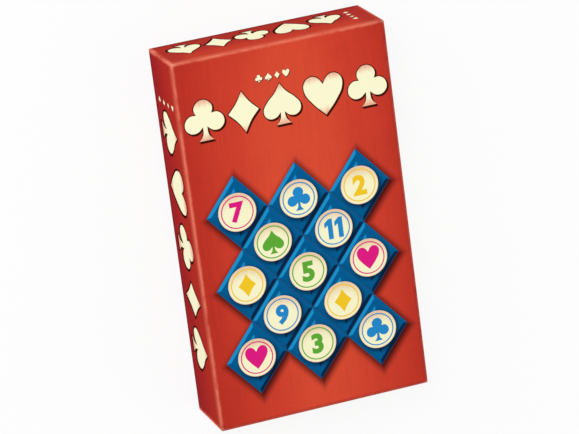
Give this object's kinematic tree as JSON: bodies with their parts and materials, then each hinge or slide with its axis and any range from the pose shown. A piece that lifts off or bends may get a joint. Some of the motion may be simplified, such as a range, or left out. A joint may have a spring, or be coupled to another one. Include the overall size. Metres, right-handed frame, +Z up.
{
  "type": "rummy tile case",
  "caption": "Shallow wrapped-board game box: a full-depth lid lifts off a base that holds stepped tile racks, stacked numbered tiles, a folded card insert and a rules leaflet.",
  "frame": {"origin": "centre of the base's underside, where the closed case rests when it lies flat", "axes": "+X across the case, +Y along it towards the cover's upper edge, +Z up, out of the cover"},
  "size_m": [0.11, 0.19, 0.038],
  "materials": {
    "lid_paper": "printed, satin",
    "base_paper": "printed, satin",
    "greyboard": "bare board",
    "stay_paper": "matt tape",
    "insert_card": "uncoated card",
    "leaflet_paper": "uncoated paper",
    "tile_plastic": "moulded, polished",
    "rack_plastic": "moulded, satin"
  },
  "bodies": {
    "base": {"base_board": "greyboard", "base_corner_stays": "stay_paper", "base_wrap": "base_paper", "card_insert": "insert_card", "rules_leaflet": "leaflet_paper", "joker_tiles": "tile_plastic", "rack_1": "rack_plastic", "rack_2": "rack_plastic", "rack_3": "rack_plastic", "rack_4": "rack_plastic", "tiles_rank_1": "tile_plastic", "tiles_rank_2": "tile_plastic", "tiles_rank_3": "tile_plastic", "tiles_rank_4": "tile_plastic", "tiles_rank_5": "tile_plastic", "tiles_rank_6": "tile_plastic", "tiles_rank_7": "tile_plastic", "tiles_rank_8": "tile_plastic", "tiles_rank_9": "tile_plastic", "tiles_rank_10": "tile_plastic", "tiles_rank_11": "tile_plastic", "tiles_rank_12": "tile_plastic", "tiles_rank_13": "tile_plastic"},
    "lid": {"lid_board": "greyboard", "lid_corner_stays": "stay_paper", "lid_wrap": "lid_paper"}
  },
  "joints": [
    {"name": "lid_lift", "type": "slide", "parent": "base", "child": "lid", "axis": [0, 0, 1], "range_m": [0, 0.12]}
  ]
}
